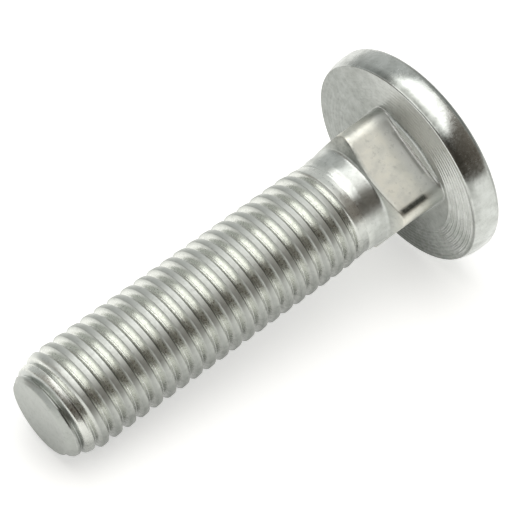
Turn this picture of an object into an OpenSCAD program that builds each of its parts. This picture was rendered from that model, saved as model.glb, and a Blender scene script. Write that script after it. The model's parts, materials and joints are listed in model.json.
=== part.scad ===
// Carriage bolt: a domed head, a short square neck that keeps it from turning, and a rolled thread.
// It is one forged piece, drawn lying at rest on the rim of its head and the crest nearest its tip.
// Before it is laid down, its axis is Z, the head points up and the bearing face is at height 0.

/* [Overall] */
// Length from the bearing face to the tip
bolt_len = 48.6; // [35:0.1:80]

/* [Head] */
// Diameter over the rim
head_d = 25.6; // [21:0.1:34]
// Height of the crown above the bearing face
head_h = 6.6; // [5.6:0.1:10]
// Height above the bearing face at which the rim is widest
rim_z = 2.2; // [1.4:0.1:2.6]
// Height of the straight band above the widest line
rim_band = 0.5; // [0.2:0.1:0.9]
// Radius of the rim's curve below the widest line
rim_curve = 5; // [3:0.1:7]
// Radius of the edge between the rim and the crown
edge_curve = 0.9; // [0.4:0.1:1.2]
// Height of the low round collar under the head
collar_h = 0.42; // [0.3:0.02:1]
// Height of the collar's outer edge
collar_edge = 0.12; // [0.04:0.02:0.2]
// Clearance of the collar around the neck's corners
collar_gap = 0.05; // [0:0.05:0.5]

/* [Neck] */
// How much wider the square neck is across its flats than the thread
neck_over = 0.16; // [0:0.02:2.4]
// Radius of the neck's corners
neck_corner = 1.7; // [0.5:0.1:2.5]
// Length of the neck from the bearing face
neck_len = 6.3; // [3:0.05:9]
// Length of the cone where the neck starts
shoulder_h = 0.6; // [0.2:0.1:1.2]

/* [Shank] */
// How much smaller the plain shank's diameter is than the thread's
shank_less = 0.26; // [0.04:0.02:0.4]
// Length of the plain shank between the neck and the taper to the thread
shank_len = 1.9; // [1:0.05:12]
// Length of the taper from the plain shank to the thread
taper_len = 0.7; // [0.3:0.05:1.5]

/* [Thread] */
// Diameter over the thread's crests
thread_d = 11.84; // [9.8:0.01:15.9]
// Pitch of the thread
pitch = 1.75; // [1.25:0.05:2.1]
// Depth of the thread, as a share of the pitch
depth_share = 0.494; // [0.42:0.002:0.54]
// Width of the flat at the root, as a share of the pitch
root_share = 0.25; // [0.15:0.005:0.28]
// How much smaller the last crest's diameter is than the thread's
waist_less = 0.54; // [0.4:0.02:0.9]
// Length over which the crests sink to the last one
waist_len = 2.9; // [1.5:0.1:6]
// Length over which the groove gets shallow at its end
runout_len = 2.6; // [1.5:0.1:6]
// How much smaller the end face's diameter is than the thread's
tip_less = 3.04; // [1.6:0.02:4]
// Width of the bevel around the end face
tip_bevel = 0.7; // [0.2:0.05:0.8]
// Length of the bevel around the end face
bevel_len = 1.0; // [0.2:0.05:1.4]
// Length of the tip, from the end face to the first full crest
tip_len = 3.4; // [1.6:0.1:5]
// Distance from the tip to the first root, measured along the side that the bolt lies on
first_root = 0.03; // [0:0.01:1.75]

/* [Rest] */
// Turn of the square neck about the axis, from a flat facing the ground
neck_turn = 34.3; // [0:0.1:90]

/* [Hidden] */
$fn = 96;
eps = 0.01;
steel = [0.72, 0.74, 0.73];
neck_clear = 1;
collar_under = 0.3;
groove_clear = 0.12;
groove_past = 1.0;
groove_seg = 24;
crests_tried = 5;

head_r = head_d / 2;
thread_r = thread_d / 2;
shank_r = thread_r - shank_less / 2;
waist_r = thread_r - waist_less / 2;
tip_r = thread_r - tip_less / 2;
bevel_r = tip_r + tip_bevel;
root_r = thread_r - pitch * depth_share;
neck_w = thread_d + neck_over;

// Rim: its lower curve, and the edge that it shares with the crown
rim_r = head_r - rim_curve;
edge_r = head_r - edge_curve;
edge_z = rim_z + rim_band;
edge_rise = head_h - edge_z;
edge_span = edge_r * edge_r + edge_rise * edge_rise - edge_curve * edge_curve;
crown_curve = edge_span / (2 * (edge_rise - edge_curve));
crown_z = head_h - crown_curve;
edge_angle = atan2(edge_r, edge_z - crown_z);
crown_reach = 2 * head_h;

// Neck: the circle around its corners, which the collar follows
corner_reach = (neck_w / 2 - neck_corner) * sqrt(2) + neck_corner;
collar_r = corner_reach + collar_gap;

// Thread: a groove with 60 degree flanks, cut into a plain rod.
// It starts below the tip and ends past its last crest.
thread_top = neck_len + shank_len + taper_len;
flank = tan(30);
root_flat = pitch * root_share;
groove_out = thread_r + groove_clear;
groove_low = first_root - bolt_len - pitch;
groove_end = groove_past - thread_top;
groove_rings = ceil((groove_end - groove_low) / pitch * groove_seg);

// Rod radius and groove depth at a height z
taper = (thread_r - bevel_r) / (tip_len - bevel_len);
function rod_at(z) = let (rise = z + bolt_len)
    rise < bevel_len ? tip_r + rise * tip_bevel / bevel_len
    : min(thread_r, bevel_r + taper * (rise - bevel_len));
function fade(z) = min(1, max(0, (groove_end - z) / runout_len));
function ring_at(i) = let (
        a = 360 * i / groove_seg,
        z = groove_low + pitch * i / groove_seg,
        inner = groove_out - eps - (groove_out - eps - root_r) * fade(z),
        half = root_flat / 2,
        wide = half + (groove_out - inner) * flank
    )
    [[inner, z - half], [groove_out, z - wide], [groove_out, z + wide], [inner, z + half]];
function ring_points(i) = let (a = 360 * i / groove_seg)
    [for (p = ring_at(i)) [p[0] * cos(a), p[0] * sin(a), p[1]]];

// Rest: the tilt at which the first crest near the tip meets the ground.
// A crest on the taper touches at its upper end.
knee_z = tip_len - bolt_len;
taper_low = bevel_r + taper * (bolt_len - bevel_len) - root_r;
crest_half = (pitch - root_flat) / 2 - (thread_r - root_r) * flank;
function taper_end(z) = (z + (pitch - root_flat) / 2 - taper_low * flank) / (1 + taper * flank);
crest_z = [for (k = [0 : crests_tried - 1]) let (z = first_root - bolt_len + (k - 0.5) * pitch)
    z - crest_half > knee_z ? z - crest_half : min(knee_z, taper_end(z))];
function tilt_on(z) = let (a = rim_r - rod_at(z), b = rim_z - z)
    acos(-rim_curve / norm([a, b])) - atan2(b, a);
tilt = min([for (z = crest_z) if (z > -bolt_len) tilt_on(z)]);
lift = rim_r * cos(tilt) - rim_z * sin(tilt) + rim_curve;
far_x = crown_z * cos(tilt) + crown_curve;
near_x = -bolt_len * cos(tilt) - tip_r * sin(tilt);

module lay_down() {
    translate([-(far_x + near_x) / 2, 0, lift])
        rotate([0, 90 - tilt, 0])
            children();
}

module head_outline() {
    intersection() {
        translate([rim_r, rim_z]) circle(rim_curve);
        square([head_r, rim_z]);
    }
    translate([0, rim_z - eps]) square([head_r, rim_band + eps]);
    square([rim_r, rim_z]);
    intersection() {
        translate([edge_r, edge_z]) circle(edge_curve);
        translate([0, edge_z - eps]) square([head_r, edge_curve + eps]);
    }
    intersection() {
        translate([0, crown_z]) circle(crown_curve);
        polygon([
            [0, edge_z - eps],
            [edge_r, edge_z - eps],
            [edge_r + crown_reach * sin(edge_angle), edge_z + crown_reach * cos(edge_angle)],
            [0, edge_z + crown_reach]
        ]);
    }
}

module head() {
    rotate_extrude() head_outline();
    translate([0, 0, -collar_h])
        cylinder(h = collar_h - collar_edge, r1 = neck_w / 2 - collar_under, r2 = collar_r);
    translate([0, 0, -collar_edge]) cylinder(h = collar_edge + eps, r = collar_r);
}

module neck_outline() {
    inner = neck_w - 2 * neck_corner;
    square([neck_w, inner], center = true);
    square([inner, neck_w], center = true);
    for (x = [-1, 1], y = [-1, 1])
        translate([x * inner / 2, y * inner / 2]) circle(neck_corner);
}

module neck() {
    rotate(neck_turn)
        translate([0, 0, -neck_len])
            intersection() {
                linear_extrude(neck_len + eps) neck_outline();
                union() {
                    cylinder(h = shoulder_h, r1 = shank_r, r2 = corner_reach + eps);
                    translate([0, 0, shoulder_h]) cylinder(h = neck_len, r = corner_reach + neck_clear);
                }
            }
}

module shank() {
    translate([0, 0, -neck_len - shank_len]) cylinder(h = shank_len + shoulder_h, r = shank_r);
}

module groove() {
    points = [for (i = [0 : groove_rings]) each ring_points(i)];
    last = 4 * groove_rings;
    sides = [for (i = [0 : groove_rings - 1], j = [0 : 3])
        let (p = 4 * i + j, q = 4 * i + (j + 1) % 4)
        each [[p, q + 4, p + 4], [p, q, q + 4]]];
    ends = [[0, 2, 1], [0, 3, 2], [last, last + 1, last + 2], [last, last + 2, last + 3]];
    polyhedron(points = points, faces = concat(sides, ends));
}

module rod() {
    rotate_extrude()
        polygon([
            [0, -bolt_len],
            [tip_r, -bolt_len],
            [bevel_r, -bolt_len + bevel_len],
            [thread_r, -bolt_len + tip_len],
            [thread_r, -thread_top - waist_len],
            [waist_r, -thread_top],
            [shank_r, -thread_top + taper_len],
            [0, -thread_top + taper_len]
        ]);
}

module bolt() {
    color(steel)
        lay_down() {
            head();
            neck();
            shank();
            difference() {
                rod();
                groove();
            }
        }
}

bolt();
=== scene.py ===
import json
import math
import bpy
import numpy as np
from mathutils import Matrix, Vector


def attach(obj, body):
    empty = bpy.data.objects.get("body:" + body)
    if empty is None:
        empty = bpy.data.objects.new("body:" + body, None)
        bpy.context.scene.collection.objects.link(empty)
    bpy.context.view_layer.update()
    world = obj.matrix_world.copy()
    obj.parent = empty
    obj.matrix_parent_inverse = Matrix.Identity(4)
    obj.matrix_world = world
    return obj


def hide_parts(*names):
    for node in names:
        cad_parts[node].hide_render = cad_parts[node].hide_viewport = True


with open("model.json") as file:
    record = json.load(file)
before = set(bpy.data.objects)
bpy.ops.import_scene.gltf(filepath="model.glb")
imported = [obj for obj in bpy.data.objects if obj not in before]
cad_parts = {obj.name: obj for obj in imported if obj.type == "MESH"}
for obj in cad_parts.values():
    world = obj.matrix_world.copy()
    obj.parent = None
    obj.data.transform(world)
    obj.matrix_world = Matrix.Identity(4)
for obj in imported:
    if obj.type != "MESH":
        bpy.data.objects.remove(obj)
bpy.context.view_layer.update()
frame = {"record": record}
mounts = {m["name"]: m for m in frame["record"]["mounts"]}
mm = 0.001
print("frame loaded")


# small helpers
def addNode(tree, kind, settings=None, values=None, links=None):
    node = tree.nodes.new(kind)
    for name, value in (settings or {}).items():
        setattr(node, name, value)
    for name, value in (values or {}).items():
        node.inputs[name].default_value = value
    for name, source in (links or {}).items():
        tree.links.new(source, node.inputs[name])
    return node


def hexToLinear(code):
    parts = [int(code[i:i + 2], 16) / 255 for i in (1, 3, 5)]
    return (*[c / 12.92 if c <= 0.04045 else ((c + 0.055) / 1.055) ** 2.4 for c in parts], 1)


def newMaterial(name):
    material = bpy.data.materials.new(name)
    material.use_nodes = True
    material.node_tree.nodes.clear()
    return material, material.node_tree


# camera, first, so that every later stage can be judged through it
cameraView = {
    "azimuth": -39.5809,  # degrees, 0 looks along +Y
    "elevation": 44.2265,
    "distance": 233.0,  # mm from what it looks at
    "aim": (2.3129, 1.3883, 9.2296),
    "lens": 155.294,
}


def makeCamera(view):
    turn, rise = math.radians(view["azimuth"]), math.radians(view["elevation"])
    back = Vector((math.sin(turn) * math.cos(rise), -math.cos(turn) * math.cos(rise), math.sin(rise)))
    data = bpy.data.cameras.new("camera")
    data.lens = view["lens"]
    data.sensor_width = 36
    data.clip_start, data.clip_end = 0.01, 20
    camera = bpy.data.objects.new("camera", data)
    camera.location = (Vector(view["aim"]) + back * view["distance"]) * mm
    camera.rotation_mode = "QUATERNION"
    camera.rotation_quaternion = (-back).to_track_quat("-Z", "Y")
    bpy.context.scene.collection.objects.link(camera)
    bpy.context.scene.camera = camera


makeCamera(cameraView)
print("camera set")


# bright zinc plate, the bolt's only finish
zincLook = {
    "bright": "#cbceca",  # clean plate
    "dull": "#b4b7b2",  # where the plate is thin or has been handled
    "burnished": "#e2e4de",  # rolled flanks, pressed smooth by the dies
    "worn": "#b0b3ae",  # crests and the sheared end, left rough
    "paintedLight": "#f4f5f1",  # painted light: brighter on the front of the collar and of the bearing face next to it
    "paintedShadeAndStain": "#6b6e69",  # painted shade: darker near the ground, on the far side, in creases and along edges; also the colour of the small stains
    "straw": "#dddcd1",  # faint yellow of a thicker plate, on the neck's flats
    "patchSize": 1.6,  # mm across a patch of duller plate
    "patchEdges": (0.32, 0.62),  # noise levels between which dull plate turns bright
    "speckSize": 0.55,  # mm across the small stains
    "speckEdges": (0.57, 0.66),
    "speckShare": 0.20,  # how dark the small stains get
    "grainSize": 0.32,  # mm across the unevenness under the plate, coarser than real so that it shows
    "grainEdges": (0.3, 0.7),
    "grainHeight": 0.0034,  # mm
    "roughSpread": 0.06,  # how far the grain moves the roughness either way
    "swellSize": 1.1,  # mm across the slow waves left by forging and rolling
    "swellHeight": 0.006,
    "strawClouds": (0.4, 0.62, 0.6, 1.0),  # noise levels from and to, and the share of the tone at each
    "paintedShadeAndStainClouds": (0.38, 0.6, 0.85, 1.1),
}


def zincPlate(look):
    # Bright zinc plate over rolled steel: a clear, slightly milky mirror,
    # with a soft mottle and a faint warm grey
    material, tree = newMaterial("brightZincPlate")
    place = addNode(tree, "ShaderNodeTexCoord").outputs["Object"]
    noise = {}
    kinds = (("patch", 3, 0.6), ("grain", 4, 0.55), ("swell", 1, 0.5), ("speck", 4, 0.7))
    for name, detail, harshness in kinds:
        scale = 1 / (look[name + "Size"] * mm)
        noise[name] = addNode(tree, "ShaderNodeTexNoise",
                              values={"Scale": scale, "Detail": detail, "Roughness": harshness},
                              links={"Vector": place}).outputs["Fac"]
    mottle = addNode(tree, "ShaderNodeValToRGB", links={"Fac": noise["patch"]})
    for stop, position, name in zip(mottle.color_ramp.elements, look["patchEdges"], ("dull", "bright")):
        stop.position, stop.color = position, hexToLinear(look[name])
    # the finish of each place, roughened a little by the grain
    finish = addNode(tree, "ShaderNodeAttribute", {"attribute_name": "roughness"})
    low, high = look["grainEdges"]
    spread = look["roughSpread"]
    uneven = addNode(tree, "ShaderNodeMapRange",
                     values={"From Min": low, "From Max": high, "To Min": -spread, "To Max": spread},
                     links={"Value": noise["grain"]})
    rough = addNode(tree, "ShaderNodeMath", {"operation": "ADD"},
                    links={0: finish.outputs["Fac"], 1: uneven.outputs["Result"]})
    fine = addNode(tree, "ShaderNodeBump", values={"Strength": 1, "Distance": look["grainHeight"] * mm},
                   links={"Height": noise["grain"]})
    slow = addNode(tree, "ShaderNodeBump", values={"Strength": 1, "Distance": look["swellHeight"] * mm},
                   links={"Height": noise["swell"], "Normal": fine.outputs["Normal"]})
    # each tone lies over the one before, where its attribute says so
    clouds = {}
    for name, source in (("straw", "patch"), ("paintedShadeAndStain", "speck")):
        low, high, least, most = look[name + "Clouds"]
        clouds[name] = addNode(tree, "ShaderNodeMapRange",
                               values={"From Min": low, "From Max": high, "To Min": least, "To Max": most},
                               links={"Value": noise[source]}).outputs["Result"]
    tone = mottle.outputs["Color"]
    # of these tones the fourth is painted light, brighter on the front, and the fifth painted shade, darker
    # near the ground, in creases and along edges
    for name in ("straw", "worn", "burnished", "paintedLight", "paintedShadeAndStain"):
        share = addNode(tree, "ShaderNodeAttribute", {"attribute_name": name}).outputs["Fac"]
        if name in clouds:
            share = addNode(tree, "ShaderNodeMath", {"operation": "MULTIPLY", "use_clamp": True},
                            links={0: share, 1: clouds[name]}).outputs[0]
        tone = addNode(tree, "ShaderNodeMix", {"data_type": "RGBA"}, {7: hexToLinear(look[name])},
                       {0: share, 6: tone}).outputs[2]
    # small random stains, in the painted shade's dark colour
    low, high = look["speckEdges"]
    dots = addNode(tree, "ShaderNodeMapRange",
                   values={"From Min": low, "From Max": high, "To Max": look["speckShare"]},
                   links={"Value": noise["speck"]})
    tone = addNode(tree, "ShaderNodeMix", {"data_type": "RGBA"}, {7: hexToLinear(look["paintedShadeAndStain"])},
                   {0: dots.outputs["Result"], 6: tone}).outputs[2]
    metal = addNode(tree, "ShaderNodeBsdfPrincipled", values={"Metallic": 1},
                    links={"Base Color": tone, "Roughness": rough.outputs[0],
                           "Normal": slow.outputs["Normal"]})
    addNode(tree, "ShaderNodeOutputMaterial", links={"Surface": metal.outputs["BSDF"]})
    return material


zinc = zincPlate(zincLook)


# the blank: a turned and forged surface, laid out so that its rows run along the thread's helix
# Sizes are in mm in the bolt's own frame: axis Z, bearing face at 0, head above, angle 0 towards the ground.
blank = {
    "columns": 176,
    "length": 48.6,
    "tipRadius": 4.4,
    "tipSlant": 0.42,  # how far the sheared end face leans, across its width
    "slantTurn": 216.0,  # degrees, the side towards which it leans back
    "tipRings": (0.15, 0.3, 0.45, 0.6, 0.75, 0.88, 0.965),  # shares of the end face's radius
    "bevelRadius": 5.1,
    "bevelTop": -47.6,
    "bevelRings": (0.03, 0.2, 0.45, 0.7, 0.93),
    "snap": 0.03,  # rows this close to the thread's ends join the ring there
    "taperTop": -45.08,
    "threadRadius": 5.92,
    "waistRadius": 5.65,  # the crests sink to this
    "waistAt": -8.9,
    "waistLength": 2.9,
    "threadEnd": -8.2,
    "shankRadius": 5.79,
    "neckLength": 6.3,
    "neckHalf": 6.0,
    "neckCorner": 1.7,
    "neckTurn": 34.3,
    "coneSlope": 3.2,
    "coneRounds": (0.3, 0.16),  # rounding at the cone's two ends
    "sweepLength": 1.5,  # where the flats swing out towards the collar
    "sweepRise": 0.02,
    "beadHeight": 0.06,  # a fine bead at the end of each flat
    "beadWidth": 0.24,
    "collarRadius": 7.83,
    "collarHeight": 0.42,
    "padRise": 0.85,  # how far the collar reaches out past the middle of a flat
    "padBack": 0.2,  # share of that on the far side
    "padEdge": 0.04,
    "creaseDepth": 0.10,  # dug in around the collar, on the front
    "creaseWidth": 0.42,
    "creaseWall": 0.02,
    "headRadius": 12.79,
    "headHeight": 6.595,
    "rimWidest": 2.2,  # height at which the rim is widest
    "rimBand": 0.5,
    "rimCurve": 5.0,
    "edgeCurve": 0.9,
    "footRound": 0.22,  # rounded corner between the bearing face and the rim
    "footShift": 0.08,
    "footSpread": 75,  # degrees from the front over which it fades
    "footLeast": 0.05,
    "footSteep": 78,  # degrees to which the corner turns
    "ringStart": 0.33,  # mm outside the collar
    "ringStop": 0.1,  # mm inside the edge of the bearing face
    "ringFade": 0.3,
    "ringRows": 62,
    "ringPitch": 0.5,
    "ringHeight": 0.10,  # deeper than real, so that the rings show
    "ringLeast": 0.15,
    "ringTurn": -86,  # degrees, where the rings are deepest
    "frontTurn": -143.9,  # degrees, the side on which the collar stands out
    "frontSpread": 42,
}

thread = {
    "pitch": 1.75,
    "firstRoot": -45.073,  # height of a root on the side that faces the ground
    "rootRadius": 5.2,  # the plate fills the roots a little
    "rootHalf": 0.05,
    "flankSlope": 1.44,
    "rootRound": 0.02,  # the corners are nearly sharp
    "crestRound": 0.02,
    "crestLean": 0.05,  # how far the crest sinks across its width, towards the head
    "leanFrom": 0.3,  # share of the pitch from root to root at which it starts to sink
    "leanWidth": 0.4,
    "grooveEnd": -7.9,
    "runout": 2.6,
    "rollStop": 0.01,  # the rolling ends this far before the plain shank
    "fullDepth": 0.975,  # how far the root rises until nothing is left of the groove
    "squeeze": 0.25,  # how far the first turn is crowded towards the next one
    "squeezeTop": -45.8,
    "tipDig": 0.38,  # how much deeper the root runs per mm below there
    "nickDepth": 0.05,
    "nickFrom": 0.6,  # noise level above which there is a nick
    "nicksPerMm": 0.9,
    "seed": 4.0,
    "wearCurve": 1.5,  # how soon the flanks' shine gives way to the rough crest
}

# where rows of points run within one pitch, close together at the corners of root and crest
rowsInPitch = [0, 0.03, 0.05, 0.18, 0.285, 0.305, 0.322, 0.345,
               0.5, 0.655, 0.678, 0.695, 0.715, 0.82, 0.95, 0.97]


def blankRadius(z, b):
    outline = [
        (-b["length"], b["tipRadius"]),
        (b["bevelTop"], b["bevelRadius"]),
        (b["taperTop"], b["threadRadius"]),
        (b["waistAt"] - b["waistLength"], b["threadRadius"]),
        (b["waistAt"], b["waistRadius"]),
        (b["threadEnd"], b["shankRadius"]),
    ]
    heights, radii = zip(*outline)
    return np.interp(z, heights, radii)


def squareReach(angles, b):
    # distance from the axis to the neck's rounded square outline
    half, corner = b["neckHalf"], b["neckCorner"]
    local = np.mod(angles - math.radians(b["neckTurn"]) + math.pi / 4, math.pi / 2) - math.pi / 4
    flat = half / np.cos(local)
    centre = half - corner
    mid = centre * (np.cos(local) + np.sin(np.abs(local)))
    arc = mid + np.sqrt(np.maximum(mid ** 2 - 2 * centre ** 2 + corner ** 2, 0))
    return np.where(np.abs(half * np.tan(local)) <= centre, flat, arc)


def roundedPath(points, radii, steps):
    # rows of (radius, height) along a path, each corner turned into a short curve
    most = 0.45  # a curve takes no more than this share of the way to the next point
    rows = []
    for k, point in enumerate(points):
        if radii[k] == 0:
            rows.append(point)
            continue
        before, after = points[k - 1] - point, points[k + 1] - point
        reachBefore = np.linalg.norm(before, axis=1, keepdims=True)
        reachAfter = np.linalg.norm(after, axis=1, keepdims=True)
        start = point + before / reachBefore * np.minimum(radii[k], most * reachBefore)
        end = point + after / reachAfter * np.minimum(radii[k], most * reachAfter)
        for t in np.linspace(0, 1, steps):
            rows.append((1 - t) ** 2 * start + 2 * t * (1 - t) * point + t ** 2 * end)
    return rows


def stretch(rows, target, count):
    # evenly spaced rows from the last one to a target, the target left out
    last = rows[-1]
    return rows + [last + (target - last) * k / (count + 1) for k in range(1, count + 1)]


def towards(angles, turn, spread):
    # 1 at one angle around the axis, falling away on both sides of it
    gap = np.mod(angles - math.radians(turn) + math.pi, 2 * math.pi) - math.pi
    return np.exp(-(gap / math.radians(spread)) ** 2)


def headRows(b, angles):
    ones = np.ones_like(angles)
    front = towards(angles, b["frontTurn"], b["frontSpread"])

    def ring(radius, height):
        return np.stack([radius * ones, height * ones], 1)

    reach = squareReach(angles, b)
    coneTop = -b["neckLength"] + (reach - b["shankRadius"]) / b["coneSlope"]
    flatness = np.clip((b["collarRadius"] - reach) / (b["collarRadius"] - b["neckHalf"]), 0, 1)
    sweepStart = -b["collarHeight"] - b["sweepLength"]
    # the plain shank, the cone at the foot of the neck and the first part of the flats
    path = [ring(b["shankRadius"], b["threadEnd"]), ring(b["shankRadius"], -b["neckLength"]),
            ring(reach, coneTop), ring(reach, sweepStart)]
    parts = roundedPath(path, [0, *b["coneRounds"], 0], 5)
    rows = stretch(parts[:1], parts[1], 6)[1:] + parts[1:11]
    rows = stretch(rows, parts[11], 9)
    # the flats swing out, end in a fine bead and turn into the collar's low cone
    for t in np.linspace(0, 1, 9):
        rows.append(ring(reach + b["sweepRise"] * flatness * t ** 2, sweepStart + b["sweepLength"] * t))
    flatEnd = rows[-1]
    bead = b["beadHeight"] * flatness[:, None] * np.array([1, 0])
    for t in np.linspace(0, 1, 8)[1:]:
        rows.append(flatEnd + bead * math.sin(math.pi * t) + np.array([0, b["beadWidth"] * t]))
    padShare = b["padBack"] + (1 - b["padBack"]) * front
    pad = np.minimum(reach + b["padRise"] * flatness * padShare, b["collarRadius"])
    rows = stretch(rows, ring(pad, -b["padEdge"]), 6)
    outer = np.maximum(pad + b["creaseWidth"], b["collarRadius"])
    dug = b["creaseDepth"] * front
    rows += [ring(pad, -b["padEdge"]), ring(pad + b["creaseWall"], dug),
             ring(pad + 0.5 * b["creaseWidth"], dug)]
    rows = stretch(rows, ring(outer, 0), 3)
    ringsFrom = b["collarRadius"] + b["ringStart"]
    rows = stretch(rows + [ring(outer, 0)], ring(ringsFrom, 0), 2)
    # rings left by the heading die on the bearing face
    faceEnd = b["headRadius"] - b["rimCurve"] + math.sqrt(b["rimCurve"] ** 2 - b["rimWidest"] ** 2)
    strength = b["ringLeast"] + (1 - b["ringLeast"]) * towards(angles, b["ringTurn"], b["frontSpread"])
    for radius in np.linspace(ringsFrom, faceEnd - b["ringStop"], b["ringRows"]):
        fadeIn = min(1, (radius - ringsFrom) / b["ringFade"], (faceEnd - radius) / b["ringFade"])
        wave = math.sin(2 * math.pi * radius / b["ringPitch"])
        rows.append(ring(radius, b["ringHeight"] * strength * fadeIn * wave))
    # rounded foot of the rim, which fades away from the front, and the rim's lower curve
    footShare = np.maximum(b["footLeast"], towards(angles, b["frontTurn"], b["footSpread"]))
    for a in np.linspace(0, math.radians(b["footSteep"]), 6):
        joinRadius = faceEnd + footShare * (b["footShift"] + b["footRound"] * math.sin(a))
        joinHeight = footShare * b["footRound"] * (1 - math.cos(a))
        rows.append(ring(joinRadius, joinHeight))
    startAngle = -np.arcsin((b["rimWidest"] - joinHeight) / b["rimCurve"])
    push = joinRadius - b["headRadius"] + b["rimCurve"] * (1 - np.cos(startAngle))
    for t in np.linspace(0.08, 1, 10):
        a = startAngle * (1 - t)
        rows.append(ring(b["headRadius"] - b["rimCurve"] * (1 - np.cos(a)) + push * (1 - t) ** 2,
                         b["rimWidest"] + b["rimCurve"] * np.sin(a)))
    # edge and crown
    edgeRadius, edgeHeight = b["headRadius"] - b["edgeCurve"], b["rimWidest"] + b["rimBand"]
    rise = b["headHeight"] - edgeHeight
    crown = (edgeRadius ** 2 + rise ** 2 - b["edgeCurve"] ** 2) / (2 * (rise - b["edgeCurve"]))
    crownCentre = b["headHeight"] - crown
    edgeAngle = math.atan2(edgeHeight - crownCentre, edgeRadius)
    for t in np.linspace(0, 1, 9):
        a = edgeAngle * t
        rows.append(ring(edgeRadius + b["edgeCurve"] * math.cos(a),
                         edgeHeight + b["edgeCurve"] * math.sin(a)))
    for t in np.linspace(0, 1, 18)[1:-1]:
        a = edgeAngle + (math.pi / 2 - edgeAngle) * t
        rows.append(ring(crown * math.cos(a), crownCentre + crown * math.sin(a)))
    return rows


finishes = {
    "tip": 0.42,  # sheared end
    "shank": 0.33,
    "neck": 0.40,
    "collar": 0.38,
    "underside": 0.42,
    "rim": 0.22,
    "crown": 0.24,
    "crest": 0.48,
    "root": 0.28,
    "glossFrom": 0.46,  # mm above the root, where the gloss starts to fall
    "glossTo": 0.74,
    "coneShare": 0.2,  # mm of the neck's cone that have the shank's finish
    "faceNear": 0.03,  # mm either side of the bearing face that have the underside's
}


def finishOf(radius, height, b, f):
    # roughness by place, from the tip to the crown; the first place that fits counts
    places = [
        ((radius < b["tipRadius"]) & (height < b["bevelTop"]), f["tip"]),
        (height < -b["neckLength"] + f["coneShare"], f["shank"]),
        (height < -b["collarHeight"], f["neck"]),
        (height < -f["faceNear"], f["collar"]),
        (height < f["faceNear"], f["underside"]),
        (height < b["rimWidest"] + b["rimBand"], f["rim"]),
    ]
    return np.select([place for place, _ in places], [value for _, value in places], f["crown"])


# Heights are in mm and turns in degrees. A band's heights are those at which it starts, is full, is still
# full and ends, and its turn is counted from the front. The bands and the other darkenings here are painted
# shade, the light reach is painted light, and the straw and the sheared wear are tones of the plate. The
# strengths say how far each place is from clean plate, and they are a guess.
paintedShadingAndTones = {
    "rimFoot": {"heights": (0.12, 0.25, 0.6, 1.1), "strength": (0, 0.95, 0.8, 0), "turn": -14, "spread": 45},
    "cone": {"heights": (-0.02, 0.1, 0.55, 0.65), "strength": (0, 0.8, 0.8, 0), "turn": -44, "spread": 34},
    "collarLine": {"heights": (-1.05, -0.85, -0.65, -0.5), "strength": (0, 0.5, 0.5, 0),
                   "turn": 0, "spread": 42},
    "crownLine": {"heights": (2.9, 3.05, 3.3, 3.5), "strength": (0, 0.8, 0.8, 0), "turn": 0, "spread": 60},
    "rimFrom": 1,  # mm outside the collar
    "coneFrom": 0.05,  # mm outside the shank
    "lineTo": 0.6,  # mm outside the neck's flats
    "faceShade": 0.45,  # painted shade on the bearing face, on the far side
    "faceThick": 0.06,  # how far from height 0 it reaches
    "groundSpread": (12, 78),  # turn from the ground side over which the face's painted shade fades out
    "creaseReach": (0.2, 0.8),  # shares of the crease's depth at which its painted shade starts and is full
    "creaseTo": 0.3,  # mm outside the collar
    "threadShade": 0.65,
    "threadSpread": (80, 112),  # turn from the ground side over which the thread's painted shade fades out
    "tipShade": 0.5,  # painted shade on the side of the end face that is nearer the ground
    "tipFrom": -3,
    "tipPast": 0.4,  # mm beyond the bevel
    "foldTurn": -107.1,  # the neck's lower corner with a painted shadow line where it was folded over, counted from the ground
    "foldHalf": 1.43,
    "foldReach": (-5.3, -2.0),
    "seamPhase": 0.697,  # share of the pitch at which a painted shadow line runs along the crest's edge
    "seamReach": 0.02,
    "seamShadeStrength": 1.0,
    "seamTurn": 12,  # from the front
    "seamSpread": 30,
    "seamStop": 1,  # mm short of the last crest
    "shearedWear": 0.8,
    "strawReach": (-0.05, 0.7, 3.9, 5.4),  # heights above the neck's foot
    "lightReach": (-2.4, -0.9, 0.03, 0.06),  # painted light, from the collar to the face next to it
    "lightFrom": 0.1,  # mm inside the neck's flats
}


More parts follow.
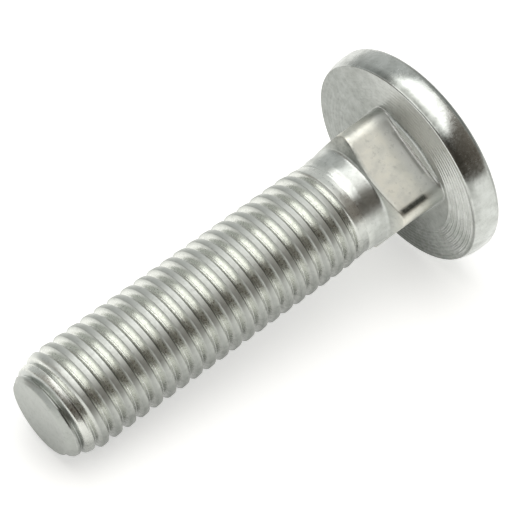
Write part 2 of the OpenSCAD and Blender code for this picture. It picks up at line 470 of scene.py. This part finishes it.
def paintedShadingAndTonesOf(points, b, t, f):
    x, y, z = points.T
    reach, turn = np.hypot(x, y), np.arctan2(y, x)
    fromGround = np.abs(np.degrees(turn))
    front = towards(turn, b["frontTurn"], b["frontSpread"])
    aboveNeckFoot = z + b["neckLength"]

    def band(name, height):
        look = f[name]
        around = towards(turn, b["frontTurn"] + look["turn"], look["spread"])
        return np.interp(height, look["heights"], look["strength"]) * around

    # painted shade on the bearing face, near the ground and on the far side, and in the crease around the
    # collar
    onFace = (reach > b["neckHalf"]) * (np.abs(z) < f["faceThick"])
    face = np.maximum(np.interp(fromGround, f["groundSpread"], [1, 0]), f["faceShade"] * (1 - front))
    inCrease = np.interp(z, np.multiply(f["creaseReach"], b["creaseDepth"]), [0, 1])
    # painted shade: a thin dark line on the neck's lower corner, where it was folded over
    foldFrom, foldTo = f["foldReach"]
    fold = (np.abs(np.degrees(turn) - f["foldTurn"]) < f["foldHalf"]) * (z > foldFrom) * (z < foldTo)
    # painted shade on the thread's ground side, as a dark line along its crests, and on the end face's
    # ground side
    rolled = (z < b["waistAt"]) * (z > b["bevelTop"])
    groundShade = f["threadShade"] * np.interp(fromGround, f["threadSpread"], [1, 0])
    below = np.maximum(0, t["squeezeTop"] - z)
    phase = np.mod((z - t["squeeze"] * below - t["firstRoot"]) / t["pitch"] - turn / (2 * math.pi), 1)
    onSeam = (np.abs(phase - f["seamPhase"]) < f["seamReach"]) * rolled * (z < b["waistAt"] - f["seamStop"])
    seamShade = f["seamShadeStrength"] * onSeam * towards(turn, b["frontTurn"] + f["seamTurn"], f["seamSpread"])
    tip = f["tipShade"] * np.interp(x, [f["tipFrom"], b["bevelRadius"]], [0, 1])
    # every entry here is painted shade: darker near the ground, on the far side, in creases and along edges
    paintedShadeAndStain = [
        band("rimFoot", z) * (reach > b["collarRadius"] + f["rimFrom"]),
        band("cone", aboveNeckFoot) * (reach > b["shankRadius"] + f["coneFrom"]),
        band("collarLine", z) * (reach < b["neckHalf"] + f["lineTo"]),
        band("crownLine", z),
        onFace * face,
        onFace * inCrease * (reach < b["collarRadius"] + f["creaseTo"]),
        fold,
        groundShade * rolled,
        seamShade,
        tip * (z < b["bevelTop"] + f["tipPast"]),
    ]
    # painted light: brighter on the front of the collar and of the bearing face next to it
    lightShare = front * np.interp(z, f["lightReach"], [0, 1, 1, 0])
    return {
        "straw": np.interp(aboveNeckFoot, f["strawReach"], [0, 1, 1, 0]),
        "paintedShadeAndStain": np.max(paintedShadeAndStain, axis=0),
        "worn": f["shearedWear"] * (z < b["bevelTop"]),
        "paintedLight": lightShare * (reach > b["neckHalf"] - f["lightFrom"]),
    }


def makeBlank(b, t):
    columns, perPitch, pitch = b["columns"], len(rowsInPitch), t["pitch"]
    block = columns // perPitch
    angles = 2 * math.pi * np.arange(columns) / columns
    low, high = b["bevelTop"], b["threadEnd"]
    startTurn = math.floor((low - t["firstRoot"]) / pitch) - 2  # rows to spare at both ends
    count = int((high - low) / pitch + 4) * perPitch
    offsets = np.array(rowsInPitch)
    row = np.arange(count)[:, None]
    column = np.arange(columns)[None, :]
    onHelix = row - column // block  # which helical row passes here
    turns = startTurn + onHelix // perPitch + offsets[onHelix % perPitch] + column / columns
    height = t["firstRoot"] + pitch * turns
    height = height + t["squeeze"] / (1 + t["squeeze"]) * np.maximum(0, t["squeezeTop"] - height)
    atLow, atHigh = height < low + b["snap"], height > high - b["snap"]
    height = np.clip(height, low, high)
    radius = blankRadius(height, b)
    points, ids = [], np.zeros((count, columns), int)

    def addRing(radii, heights):
        start = len(points)
        points.extend(zip(radii * np.cos(angles), radii * np.sin(angles), heights + 0 * angles))
        return start

    # sheared end face with its lean, then the bevel around it
    lean = np.cos(angles - math.radians(b["slantTurn"]))
    points.append((0, 0, -b["length"] + b["tipSlant"] / 2))
    starts = [addRing(b["tipRadius"] * share, -b["length"] + b["tipSlant"] / 2 * (1 + share * lean))
              for share in b["tipRings"]]
    edge = -b["length"] + b["tipSlant"] / 2 * (1 + lean)
    for share in b["bevelRings"]:
        starts.append(addRing(b["tipRadius"] + (b["bevelRadius"] - b["tipRadius"]) * share,
                              edge + (low - edge) * share))
    # the threaded length, with one ring at each end for the rows that run out there
    lowRing = addRing(b["bevelRadius"], low)
    free = ~(atLow | atHigh)
    ids[atLow] = (lowRing + np.broadcast_to(column, ids.shape))[atLow]
    ids[free] = len(points) + np.arange(int(free.sum()))
    around = np.broadcast_to(angles[None, :], ids.shape)
    points.extend(zip((radius * np.cos(around))[free], (radius * np.sin(around))[free], height[free]))
    highRing = len(points)
    addRing(b["shankRadius"], high)
    ids[atHigh] = (highRing + np.broadcast_to(column, ids.shape))[atHigh]
    faces = []

    def addFace(*corners):
        clean = [c for k, c in enumerate(corners) if c != corners[k - 1]]
        if len(clean) > 2:
            faces.append(tuple(int(c) for c in clean))

    for k in range(columns):
        n = (k + 1) % columns
        shift = 1 if n % block == 0 else 0
        for r in range(count - 1):
            if r + 1 + shift < count:
                addFace(ids[r, k], ids[r + shift, n], ids[r + 1 + shift, n], ids[r + 1, k])
    # the plain rings at both ends
    for k in range(columns):
        n = (k + 1) % columns
        addFace(0, 1 + n, 1 + k)
        for a in starts:
            addFace(a + k, a + n, a + columns + n, a + columns + k)
    ring = highRing
    for outline in headRows(b, angles):
        start = addRing(outline[:, 0], outline[:, 1])
        for k in range(columns):
            n = (k + 1) % columns
            addFace(ring + k, ring + n, start + n, start + k)
        ring = start
    points.append((0, 0, b["headHeight"]))
    for k in range(columns):
        addFace(ring + k, ring + (k + 1) % columns, len(points) - 1)
    points = np.array(points)
    mesh = bpy.data.meshes.new("blank")
    mesh.from_pydata((points * mm).tolist(), [], faces)
    finish = finishOf(np.hypot(points[:, 0], points[:, 1]), points[:, 2], b, finishes)
    for name, values in {"roughness": finish, **paintedShadingAndTonesOf(points, b, t, paintedShadingAndTones)}.items():
        mesh.attributes.new(name, "FLOAT", "POINT").data.foreach_set("value", values)
    mesh.update()
    return mesh


# the thread, rolled into the blank by a rule in Geometry Nodes
def newTree(name, inputs):
    tree = bpy.data.node_groups.new(name, "GeometryNodeTree")
    tree.interface.new_socket("Geometry", in_out="INPUT", socket_type="NodeSocketGeometry")
    tree.interface.new_socket("Geometry", in_out="OUTPUT", socket_type="NodeSocketGeometry")
    for label, kind in inputs.items():
        tree.interface.new_socket(label, in_out="INPUT", socket_type=kind)
    return tree, addNode(tree, "NodeGroupInput").outputs


def threadTree(labels):
    kinds = {label: "NodeSocketFloat" for label in labels}
    kinds["Metal"] = "NodeSocketMaterial"
    tree, given = newTree("rollThread", kinds)
    place = addNode(tree, "GeometryNodeInputPosition").outputs[0]
    split = addNode(tree, "ShaderNodeSeparateXYZ", links={"Vector": place})
    noise = addNode(tree, "ShaderNodeTexNoise", {"noise_dimensions": "4D"}, {"Detail": 2.0},
                    {"Vector": place, "W": given["Seed"], "Scale": given["Nick Scale"]})
    known = {label: given[label] for label in labels}
    known.update(x=split.outputs[0], y=split.outputs[1], z=split.outputs[2], noise=noise.outputs["Fac"])
    # the rule, one step a line: what it gives, what is done, and with what
    rule = [
        # share of the pitch from root to root, counted up along the bolt
        ("angle", "ARCTAN2", "y", "x"),
        ("turns", "DIVIDE", "angle", 2 * math.pi),
        ("fromTop", "SUBTRACT", "Squeeze Top", "z"),
        ("below", "MAXIMUM", "fromTop", 0.0),
        ("crowd", "MULTIPLY", "below", "Squeeze"),
        ("eased", "SUBTRACT", "z", "crowd"),
        ("climbed", "SUBTRACT", "eased", "First Root"),
        ("pitches", "DIVIDE", "climbed", "Pitch"),
        ("unwound", "SUBTRACT", "pitches", "turns"),
        ("phase", "FRACT", "unwound"),
        # flanks on both sides of the root
        ("fromCrest", "SUBTRACT", "phase", 0.5),
        ("offCrest", "ABSOLUTE", "fromCrest"),
        ("offRoot", "SUBTRACT", 0.5, "offCrest"),
        ("fromRoot", "MULTIPLY", "offRoot", "Pitch"),
        ("onFlank", "SUBTRACT", "fromRoot", "Root Half"),
        ("slope", "MULTIPLY", "onFlank", "Flank Slope"),
        ("flank", "SMOOTH_MAX", "slope", 0.0, "Root Round"),
        # the groove gets shallow towards the shank and deeper towards the tip
        ("toEnd", "SUBTRACT", "Groove End", "z"),
        ("depth", "DIVIDE", "toEnd", "Runout"),
        ("lost", "SUBTRACT", 1.0, "depth"),
        ("shallow", "MULTIPLY", "lost", "Full Depth"),
        ("wall", "ADD", "Root Radius", "flank"),
        ("raised", "ADD", "wall", "shallow"),
        ("dig", "MULTIPLY", "below", "Tip Dig"),
        ("groove", "SUBTRACT", "raised", "dig"),
        # the crest is the blank's own surface, sinking a little towards the head
        ("xSquare", "MULTIPLY", "x", "x"),
        ("ySquare", "MULTIPLY", "y", "y"),
        ("bothSquares", "ADD", "xSquare", "ySquare"),
        ("radius", "SQRT", "bothSquares"),
        ("pastLean", "SUBTRACT", "phase", "Lean From"),
        ("across", "DIVIDE", "pastLean", "Lean Width"),
        ("bent", "MULTIPLY", "across", "across"),
        ("bentHere", "MULTIPLY", "bent", "depth"),
        ("lean", "MULTIPLY", "bentHere", "Crest Lean"),
        ("crest", "SUBTRACT", "radius", "lean"),
        ("formed", "SMOOTH_MIN", "groove", "crest", "Crest Round"),
        # nicks
        ("overNick", "SUBTRACT", "noise", "Nick From"),
        ("nickShare", "MAXIMUM", "overNick", 0.0),
        ("nick", "MULTIPLY", "nickShare", "Nick Depth"),
        ("rolled", "SUBTRACT", "formed", "nick"),
        ("axisSafe", "MAXIMUM", "radius", 0.00001),
        ("share", "DIVIDE", "rolled", "axisSafe"),
        ("newX", "MULTIPLY", "x", "share"),
        ("newY", "MULTIPLY", "y", "share"),
        # bright flanks, rough crests
        ("outside", "GREATER_THAN", "radius", "Root Radius"),
        ("overRoot", "SUBTRACT", "rolled", "Root Radius"),
        ("overGloss", "SUBTRACT", "overRoot", "Gloss From"),
        ("glossWidth", "SUBTRACT", "Gloss To", "Gloss From"),
        ("crestward", "DIVIDE", "overGloss", "glossWidth"),
        ("top", "POWER", "crestward", "Wear Curve"),
        ("notTop", "SUBTRACT", 1.0, "top"),
        ("burnished", "MULTIPLY", "depth", "notTop"),
        ("worn", "MULTIPLY", "depth", "top"),
    ]
    clamped = ("depth", "across", "crestward")
    for name, operation, *sources in rule:
        numbers = {k: source for k, source in enumerate(sources) if not isinstance(source, str)}
        wires = {k: known[source] for k, source in enumerate(sources) if isinstance(source, str)}
        settings = {"operation": operation, "use_clamp": name in clamped}
        known[name] = addNode(tree, "ShaderNodeMath", settings, numbers, wires).outputs[0]

    moved = addNode(tree, "ShaderNodeCombineXYZ",
                    links={"X": known["newX"], "Y": known["newY"], "Z": known["z"]})
    where = addNode(tree, "FunctionNodeCompare", {"operation": "LESS_THAN"},
                    links={0: known["z"], 1: given["Thread Top"]}).outputs[0]
    shape = addNode(tree, "GeometryNodeSetPosition",
                    links={"Geometry": given["Geometry"], "Selection": where, "Position": moved.outputs[0]})
    gloss = addNode(tree, "ShaderNodeMix", {"data_type": "FLOAT"},
                    links={"Factor": known["crestward"], "A": given["Root Roughness"],
                           "B": given["Crest Roughness"]})
    finish = addNode(tree, "ShaderNodeMix", {"data_type": "FLOAT"},
                     links={"Factor": known["depth"], "A": given["Shank Roughness"], "B": gloss.outputs[0]})
    onThread = addNode(tree, "FunctionNodeBooleanMath", {"operation": "AND"},
                       links={0: where, 1: known["outside"]})
    stored = {"roughness": finish.outputs[0], "burnished": known["burnished"], "worn": known["worn"]}
    for name, value in stored.items():
        shape = addNode(tree, "GeometryNodeStoreNamedAttribute", {"data_type": "FLOAT", "domain": "POINT"},
                        {"Name": name},
                        {"Geometry": shape.outputs[0], "Selection": onThread.outputs[0], "Value": value})
    smooth = addNode(tree, "GeometryNodeSetShadeSmooth", links={"Geometry": shape.outputs[0]})
    whole = addNode(tree, "GeometryNodeRealizeInstances", links={"Geometry": smooth.outputs[0]})
    dressed = addNode(tree, "GeometryNodeSetMaterial",
                      links={"Geometry": whole.outputs[0], "Material": given["Metal"]})
    addNode(tree, "NodeGroupOutput", links={"Geometry": dressed.outputs[0]})
    return tree


def rollThread(mesh, b, t, f, material):
    sizes = {
        "Pitch": t["pitch"] * mm,
        "First Root": t["firstRoot"] * mm,
        "Root Radius": t["rootRadius"] * mm,
        "Root Half": t["rootHalf"] * mm,
        "Root Round": t["rootRound"] * mm,
        "Flank Slope": t["flankSlope"],
        "Crest Round": t["crestRound"] * mm,
        "Crest Lean": t["crestLean"] * mm,
        "Lean From": t["leanFrom"],
        "Lean Width": t["leanWidth"],
        "Groove End": t["grooveEnd"] * mm,
        "Runout": t["runout"] * mm,
        "Full Depth": t["fullDepth"] * mm,
        "Thread Top": (b["threadEnd"] - t["rollStop"]) * mm,
        "Squeeze": t["squeeze"],
        "Squeeze Top": t["squeezeTop"] * mm,
        "Tip Dig": t["tipDig"],
        "Nick Depth": t["nickDepth"] * mm,
        "Nick From": t["nickFrom"],
        "Nick Scale": t["nicksPerMm"] / mm,
        "Seed": t["seed"],
        "Shank Roughness": f["shank"],
        "Crest Roughness": f["crest"],
        "Root Roughness": f["root"],
        "Gloss From": f["glossFrom"] * mm,
        "Gloss To": f["glossTo"] * mm,
        "Wear Curve": t["wearCurve"],
    }
    raw = bpy.data.objects.new("blank", mesh)
    bpy.context.scene.collection.objects.link(raw)
    modifier = raw.modifiers.new("rollThread", "NODES")
    modifier.node_group = threadTree(sizes)
    sizes["Metal"] = material
    for item in modifier.node_group.interface.items_tree:
        if item.in_out == "INPUT" and item.name in sizes:
            modifier[item.identifier] = sizes[item.name]
    shown = raw.evaluated_get(bpy.context.evaluated_depsgraph_get())
    finished = bpy.data.meshes.new_from_object(shown)
    bpy.data.objects.remove(raw)
    return finished


boltMesh = rollThread(makeBlank(blank, thread), blank, thread, finishes, zinc)
print("thread rolled,", len(boltMesh.polygons), "faces")

# laid down along the axis that the record gives
bearing = mounts["bearing"]
axis = -Vector(bearing["axis"]).normalized()
down = Vector((axis.z, 0, -axis.x))
side = axis.cross(down)
lay = Matrix((down, side, axis)).transposed().to_4x4()
lay.translation = Vector(bearing["pos_m"])
boltMesh.transform(lay)
boltMesh.name = "carriageBolt"
bolt = bpy.data.objects.new("carriageBolt", boltMesh)
bpy.context.scene.collection.objects.link(bolt)
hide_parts("bolt")
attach(bolt, "root")
print("bolt laid down")


# stage: floor, lamps and the room that the metal mirrors
stage = {
    "floorSize": 4.0,  # m
    "floorColour": "#f4f4f2",
    "floorRoughness": 0.9,
    "floorGlow": 0.50,
    "topLamp": {"width": 0.42, "depth": 0.80, "height": 0.55, "place": (0.02, -0.055), "radiance": 2.1},
    # what the metal mirrors at the sides: a dim brown room in front, pale walls behind and to the right
    "paleSide": (0.75, 0.66, 0.0),
    "leftWall": (-0.95, 0.15, 0.25),
    "leftFrom": 0.62,
    "leftTo": 0.90,
    "leftTone": 0.90,
    "room": [(0.0, "#544e47"), (0.3, "#57514a"), (0.52, "#857d74"), (0.75, "#bfc2c1"), (1.0, "#dcdddc")],
}


def makeFloor(s):
    mesh = bpy.data.meshes.new("floor")
    half = s["floorSize"] / 2
    corners = [(-half, -half, 0), (half, -half, 0), (half, half, 0), (-half, half, 0)]
    mesh.from_pydata(corners, [], [(0, 1, 2, 3)])
    floor = bpy.data.objects.new("floor", mesh)
    bpy.context.scene.collection.objects.link(floor)
    material, tree = newMaterial("whiteCard")  # matt white card: even and pale, with no glare
    ray = addNode(tree, "ShaderNodeLightPath")
    # seen directly or mirrored it is white, and it throws no more light on the bolt than a plain card
    seen = ray.outputs["Is Camera Ray"]
    for kind in ("Is Glossy Ray", "Is Transmission Ray"):
        seen = addNode(tree, "ShaderNodeMath", {"operation": "MAXIMUM"},
                       links={0: seen, 1: ray.outputs[kind]}).outputs[0]
    glow = addNode(tree, "ShaderNodeMath", {"operation": "MULTIPLY"}, {1: s["floorGlow"]}, {0: seen})
    card = addNode(tree, "ShaderNodeBsdfPrincipled",
                   values={"Base Color": hexToLinear(s["floorColour"]), "Roughness": s["floorRoughness"],
                           "Emission Color": (1, 1, 1, 1)},
                   links={"Emission Strength": glow.outputs[0]})
    addNode(tree, "ShaderNodeOutputMaterial", links={"Surface": card.outputs["BSDF"]})
    mesh.materials.append(material)


def makeLamp(name, look):
    data = bpy.data.lights.new(name, "AREA")
    data.shape = "ELLIPSE"
    data.size, data.size_y = look["width"], look["depth"]
    # watts that give an ellipse of this size its radiance
    data.energy = look["radiance"] * math.pi * math.pi * look["width"] * look["depth"] / 4
    lamp = bpy.data.objects.new(name, data)
    lamp.location = (*look["place"], look["height"])
    bpy.context.scene.collection.objects.link(lamp)


def makeRoom(s):
    world = bpy.data.worlds.new("room")
    world.use_nodes = True
    tree = world.node_tree
    tree.nodes.clear()
    look = addNode(tree, "ShaderNodeTexCoord").outputs["Generated"]
    pale = addNode(tree, "ShaderNodeVectorMath", {"operation": "DOT_PRODUCT"}, {1: s["paleSide"]}, {0: look})
    pale = addNode(tree, "ShaderNodeMapRange", values={"From Min": -1, "From Max": 1},
                   links={"Value": pale.outputs["Value"]})
    left = addNode(tree, "ShaderNodeVectorMath", {"operation": "DOT_PRODUCT"}, {1: s["leftWall"]}, {0: look})
    left = addNode(tree, "ShaderNodeMapRange",
                   values={"From Min": s["leftFrom"], "From Max": s["leftTo"], "To Max": s["leftTone"]},
                   links={"Value": left.outputs["Value"]})
    level = addNode(tree, "ShaderNodeMath", {"operation": "MAXIMUM"},
                    links={0: pale.outputs["Result"], 1: left.outputs["Result"]})
    walls = addNode(tree, "ShaderNodeValToRGB", links={"Fac": level.outputs[0]})
    ramp = walls.color_ramp.elements
    while len(ramp) < len(s["room"]):
        ramp.new(0.5)
    for stop, (position, code) in zip(ramp, s["room"]):
        stop.position, stop.color = position, hexToLinear(code)
    air = addNode(tree, "ShaderNodeBackground", links={"Color": walls.outputs["Color"]})
    addNode(tree, "ShaderNodeOutputWorld", links={"Surface": air.outputs["Background"]})
    bpy.context.scene.world = world


makeFloor(stage)
makeLamp("topLamp", stage["topLamp"])
makeRoom(stage)
bpy.context.scene.view_settings.view_transform = "Standard"
print("stage set")

bpy.context.view_layer.update()
